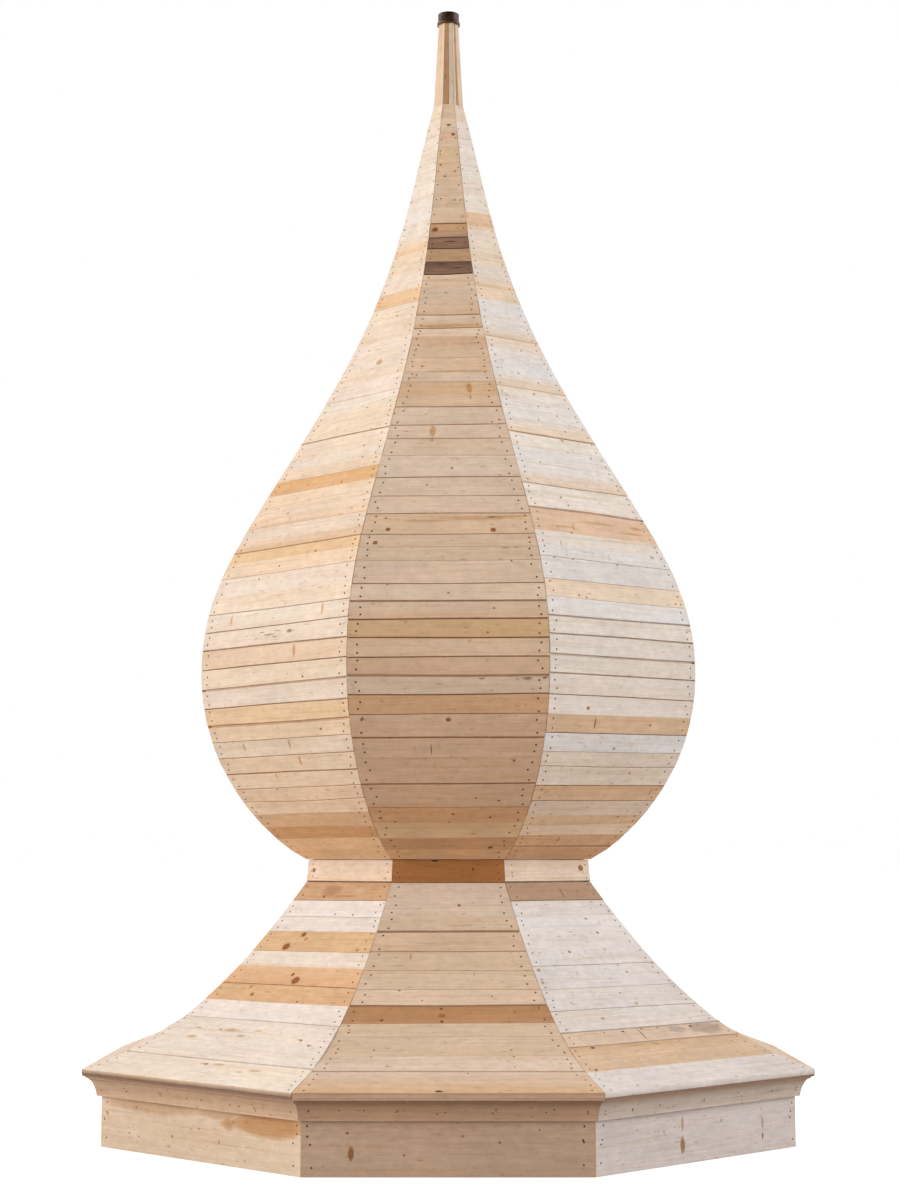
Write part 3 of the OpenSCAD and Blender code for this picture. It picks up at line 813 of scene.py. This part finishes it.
def wood_look(tree, shader, colour, grain, strength):
    """Streaks, growth lines and blotches along the grain, with the relief that planed boards have."""
    fine = noise(tree, grain, (8.0, 310.0, 40.0), 3.0, 0.6)
    lines = noise(tree, grain, (1.5, 62.0, 9.0), 3.0, 0.55, 0.5)
    flame = noise(tree, grain, (0.7, 17.0, 5.0), 2.0, 0.5, 1.2)
    blotch = noise(tree, grain, (2.4, 8.0, 3.0), 2.0)
    mottle = noise(tree, grain, (17.0, 24.0, 10.0), 3.0, 0.6)
    fleck = noise(tree, grain, (24.0, 60.0, 16.0), 1.0)
    late = ranged(tree, lines, 0.52, 0.68, 0.0, 0.55 * strength)
    bands = ranged(tree, flame, 0.46, 0.64, 0.0, 0.42 * strength)
    flecks = ranged(tree, fleck, 0.66, 0.80, 0.0, 0.7 * strength)
    colour = tinted(tree, colour, late, (0.88, 0.78, 0.66))
    colour = tinted(tree, colour, bands, (0.93, 0.86, 0.77))
    colour = uneven(tree, colour, fine, 0.09 * strength, 0.075 * strength)
    colour = uneven(tree, colour, blotch, 0.04 * strength, 0.035 * strength)
    colour = uneven(tree, colour, mottle, 0.07 * strength, 0.07 * strength)
    colour = tinted(tree, colour, flecks, (0.72, 0.54, 0.38))
    height = graph_node(tree, "Math", {0: fine, 1: lines}, operation="ADD").outputs[0]
    fill(tree, shader, {
        "Base Color": colour, "Roughness": ranged(tree, fine, 0.3, 0.7, 0.80, 0.66),
        "Normal": relief(tree, height, 0.22, 0.0012), "Specular IOR Level": 0.22})


def pine_material():
    """Planed pine, coloured board by board."""
    material, tree, shader = new_material("pine_boards")
    tone = graph_node(tree, "Attribute", attribute_name="tone").outputs["Color"]
    grain = graph_node(tree, "Attribute", attribute_name="grain").outputs["Vector"]
    wood_look(tree, shader, tone, grain, 1.0)
    return material


def framing_material():
    """Sawn framing timber, coloured by its place because the solids carry no grain."""
    material, tree, shader = new_material("framing_timber")
    place = object_place(tree)
    patch = noise(tree, place, (3.0, 3.0, 1.2), 2.0)
    colour = two_colours(tree, patch, (0.46, 0.32, 0.20), (0.60, 0.44, 0.30), (0.35, 0.65))
    wood_look(tree, shader, colour, stretched(tree, place, (0.31, 1.0, 0.22)), 1.4)
    return material


def nail_material():
    """Rusty iron."""
    material, tree, shader = new_material("nail_iron")
    rust = noise(tree, object_place(tree), (60.0, 60.0, 60.0), 2.0)
    fill(tree, shader, {
        "Base Color": two_colours(tree, rust, (0.060, 0.028, 0.015), (0.170, 0.075, 0.034)),
        "Roughness": ranged(tree, rust, 0.3, 0.7, 0.5, 0.8), "Specular IOR Level": 0.15})
    return material


def collar_material():
    """Dark browned metal under a thin clear coat, with faint turning marks."""
    material, tree, shader = new_material("browned_metal")
    place = object_place(tree)
    cloud = noise(tree, place, (38.0, 38.0, 22.0), 3.0)
    rings = noise(tree, place, (4.0, 4.0, 900.0), 2.0)
    fill(tree, shader, {
        "Base Color": two_colours(tree, cloud, (0.018, 0.008, 0.004), (0.090, 0.042, 0.022)),
        "Roughness": ranged(tree, cloud, 0.3, 0.7, 0.24, 0.42), "Normal": relief(tree, rings, 0.08, 0.0006),
        "Metallic": 1.0, "Coat Weight": 0.12, "Coat Roughness": 0.10})
    return material


def make_camera():
    data = bpy.data.cameras.new("camera")
    data.lens = CAMERA_LENS
    data.clip_end = VIEW_REACH
    camera = add_object("camera", data)
    camera.location = CAMERA_AT
    camera.rotation_euler = (math.radians(90 + CAMERA_PITCH), 0, 0)
    bpy.context.scene.camera = camera


def make_light(name, direction, strength, colour, spread):
    """Soft light from one side, as from a large bright sky."""
    data = bpy.data.lights.new(name, "SUN")
    data.energy = strength
    data.color = colour
    data.angle = math.radians(spread)
    light = add_object(name, data)
    x, y, z = direction
    lean = math.acos(z / math.sqrt(x * x + y * y + z * z))
    light.rotation_euler = (lean, 0, math.atan2(y, x) + math.pi / 2)


def make_sky():
    """A white sky, dimmer overhead and below the horizon."""
    world = bpy.data.worlds.new("studio")
    world.use_nodes = True
    tree = world.node_tree
    way = graph_node(tree, "TexCoord").outputs["Generated"]
    height = graph_node(tree, "SeparateXYZ", {"Vector": way}).outputs["Z"]
    ramp = graph_node(tree, "ValToRGB", {"Fac": ranged(tree, height, -1.0, 1.0, 0.0, 1.0)})
    stops = ramp.color_ramp.elements
    for k, (place, value) in enumerate(SKY):
        stop = stops[k] if k < 2 else stops.new(place)
        stop.position = place
        stop.color = (value, value, value, 1)
    tree.links.new(ramp.outputs["Color"], tree.nodes["Background"].inputs["Color"])
    bpy.context.scene.world = world


def make_stage():
    """Sky, side lights and a pale floor just under the plinth."""
    make_sky()
    make_light("left_sky", *LEFT_SKY)
    make_light("right_sky", *RIGHT_SKY)
    mesh = bpy.data.meshes.new("floor")
    corners = ((-1, -1), (1, -1), (1, 1), (-1, 1))
    mesh.from_pydata([(x * FLOOR_REACH, y * FLOOR_REACH, -MM) for x, y in corners], [], [(0, 1, 2, 3)])
    floor = add_object("floor", mesh)
    floor.visible_diffuse = False
    material, tree, shader = new_material("pale_floor")
    fill(tree, shader, {"Base Color": (0.94, 0.94, 0.94, 1), "Roughness": 0.9,
                        "Emission Color": (1, 1, 1, 1), "Emission Strength": 0.45})
    mesh.materials.append(material)
    bpy.context.scene.view_settings.view_transform = "Standard"


def make_roof(form, line, boards, marks, tilt_index, cuts):
    """The boarded faces of the onion or of the skirt."""
    for side in sides:
        shell = Shell()
        tilt = TILT.get(side.name, (2, 2))[tilt_index]
        boarded_face(side, line, boards, marks, tilt, cuts, side.series(form), shell)
        shell.piece(f"{form}_boards_{side.name}", f"{form}_{side.name}")


def make_plinth():
    foot, head = (-plinth_lo.y, plinth_lo.z), (-plinth_lo.y, plinth_hi.z)
    for side in sides:
        shell = Shell()
        nailed_length(shell, side, foot, head, PLINTH_LOOKS, PLINTH_NAILS, PLINTH_MARKS, 7,
                      side.series("plinth"))
        shell.piece(f"plinth_board_{side.name}", f"plinth_{side.name}")


def make_cove():
    """The moulding under the eave, with the hollow of its solid, softened edges and small nails; its tones
    paint the shade under the eave.
    """
    lo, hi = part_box("cove_front")
    back_a, top_a = -plinth_lo.y, -lo.y
    places = {(round(a, 5), round(z, 5)) for a, z in front_places("cove_front")}
    outer = sorted((p for p in places if p[0] > back_a + MM), key=lambda p: p[1])
    foot_a, hollow = outer[0][0], outer[1:-1]
    edge = 1.2 * MM
    behind = back_a + 0.2 * MM
    section = [(behind, lo.z), (foot_a - edge, lo.z), (foot_a, lo.z + edge), *hollow,
               (top_a, hi.z - edge), (top_a - edge, hi.z), (behind, hi.z)]
    for side in sides:
        rng = side.series("cove")
        shell = Shell()
        tones = COVE_SHADE_LOOKS.get(side.name, PLAIN_LOOK)
        section_length(shell, side, section, tones, rng)
        flat = plain_length(side, hollow[0], hollow[5], tones, rng)
        most = 1 - COVE_NAIL_END / side.half_width(foot_a)
        for v in np.linspace(-1, 1, COVE_NAIL_PLACES):
            for _ in range(2):
                place = max(min(v + rng.normal(0, 0.05), most), -most)
                flat.nail(shell, place, flat.width() * rng.uniform(0.3, 0.9), COVE_NAIL_R)
        shell.piece(f"cove_moulding_{side.name}", f"cove_{side.name}")


def make_soffit():
    lo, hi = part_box("soffit")
    inner = min(a for a, z in front_places("soffit"))
    outer, edge = -lo.y, 1.0 * MM
    section = [(inner, lo.z), (outer - edge, lo.z), (outer, lo.z + edge), (outer, hi.z), (inner, hi.z)]
    shell = Shell()
    for side in sides:
        # the soffit's tones paint the shade under the eave
        tones = (SOFFIT_SHADE_TONES.get(side.name, "plain"),) * 3
        section_length(shell, side, section, tones, side.series("soffit"))
    shell.piece("soffit_boards", "soffit")


def make_neck():
    """The band of upright boards; those of the main sides reach a little lower."""
    lo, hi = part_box("neck_boards")
    top_a = max(a for a, z in front_places("neck_boards") if z > hi.z - MM)
    shell = Shell()
    for side in sides:
        lift = (2 if side.index % 2 == 0 else 7) * MM
        foot, head = (-lo.y, lo.z + lift), (top_a, hi.z - 2 * MM)
        nailed_length(shell, side, foot, head, NECK_LOOKS, NECK_NAILS, NECK_MARKS, 0, side.series("neck"))
    shell.piece("neck_band", "neck_boards")


def make_slats():
    lo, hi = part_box("tip_slats")
    places = front_places("tip_slats")
    foot_a = -lo.y
    top_a = max(a for a, z in places if z > hi.z - MM)
    thick = foot_a - min(a for a, z in places if z < lo.z + MM and a > 0.5 * foot_a)
    section = [(foot_a - thick, lo.z), (foot_a, lo.z), (top_a, hi.z), (top_a - thick, hi.z)]
    shell = Shell()
    for side in sides:
        rng = side.series("slats")
        tones = SLAT_LOOKS.get(side.name, ("plain", "cream") if side.index % 2 == 0 else ("plain",))
        edges = SLAT_EDGES[len(tones)]
        for left, right, tone in zip(edges, edges[1:], tones):
            slat(shell, side, section, tone, rng, left, right)
    shell.piece("tip_slats_upright", "tip_slats")


def slat(shell, side, section, tone, rng, left, right):
    """An upright slat, with its grain along its length."""
    gap = 0.9 * MM / side.half_width(section[1][0])
    left, right = left + gap, right - gap
    (in_foot, foot_z), (foot, _), (head, head_z), (in_head, _) = section
    base = np.array(TONES[tone]) * PLAIN * rng.normal(1, 0.02)
    shift = rng.uniform(-GRAIN_SHIFT, GRAIN_SHIFT, 3)
    rings, tones, grains = [], [], []
    edge = 0.8 * MM
    for u in np.linspace(0, 1, 7):
        out_a = foot + (head - foot) * u
        in_a = in_foot + (in_head - in_foot) * u
        z = foot_z + (head_z - foot_z) * u
        nudge = edge / side.half_width(out_a)
        ring = [(in_a, left), (out_a - edge, left), (out_a, left + nudge), (out_a, right - nudge),
                (out_a - edge, right), (in_a, right)]
        rings.append([side.point(a, z, v) for a, v in ring])
        tones.append([np.clip(base * (1 + rng.normal(0, 0.02)), *TONE_LIMITS)] * len(ring))
        grains.append([(z + shift[0], side.half_width(a) * v + shift[1], a + shift[2]) for a, v in ring])
    shell.tube(rings, tones, grains)


def make_collar():
    """The turned collar, with softened edges and the open socket in its top."""
    lo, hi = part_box("collar")
    mesh = frame["nodes"]["collar"].data
    places = sorted({(round(math.hypot(v.co.x, v.co.y), 4), round(v.co.z, 4)) for v in mesh.vertices})
    lip_r = hi.x
    socket_r = min(r for r, z in places)
    in_r = min(r for r, z in places if z < lo.z + MM)
    slat_top = next(z for r, z in places if r < socket_r + MM and z < hi.z - MM)
    step_z = max(z for r, z in places if r > lip_r - 0.5 * MM)
    body_r = max(r for r, z in places if z > slat_top + 10 * MM)
    bevel = 1.5 * MM
    round_off = 0.4 * bevel
    outline = [
        (in_r, lo.z + bevel), (in_r + bevel, lo.z), (lip_r - bevel, lo.z),
        (lip_r - round_off, lo.z + round_off), (lip_r, lo.z + bevel), (lip_r, step_z - bevel),
        (lip_r - 0.5 * MM, step_z), (lip_r - 2 * MM, step_z + 1.6 * MM), (body_r + MM, slat_top - 0.6 * MM),
        (body_r, slat_top + 1.4 * MM), (body_r, hi.z - 3 * MM), (body_r - 0.9 * MM, hi.z - 0.9 * MM),
        (body_r - 3 * MM, hi.z), (socket_r + bevel, hi.z), (socket_r + round_off, hi.z - round_off),
        (socket_r, hi.z - bevel), (socket_r, slat_top), (in_r, slat_top)]
    turns = 96
    points = []
    for k in range(turns):
        angle = 2 * math.pi * k / turns
        points.extend((r * math.cos(angle), r * math.sin(angle), z) for r, z in outline)
    shell = Shell()
    count = len(points)
    shell.add(points, [PLAIN] * count, [(0, 0, 0)] * count, bands(turns, len(outline)), smooth=True)
    obj = shell.piece("tip_collar", "collar", "collar_metal")
    obj.data.set_sharp_from_angle(angle=math.radians(40))


make_camera()
make_stage()
finishes = {"pine_boards": [pine_material(), nail_material()]}
timber = framing_material()
finishes["collar_metal"] = [collar_material()]
sides = [Side(i) for i in range(8)]

make_roof("onion", Line("onion_front", -2), ONION_BOARDS, ONION_MARKS, 0, ("level", "level"))
make_roof("skirt", Line("skirt_front", 0.1), SKIRT_BOARDS, SKIRT_MARKS, 1, ("plumb", "level"))
make_plinth()
make_cove()
make_soffit()
make_neck()
make_slats()
make_collar()
for part in frame["record"]["subparts"]:
    if part["material_slot"] == "framing":
        for place in frame["nodes"][part["node"]].material_slots:
            place.material = timber
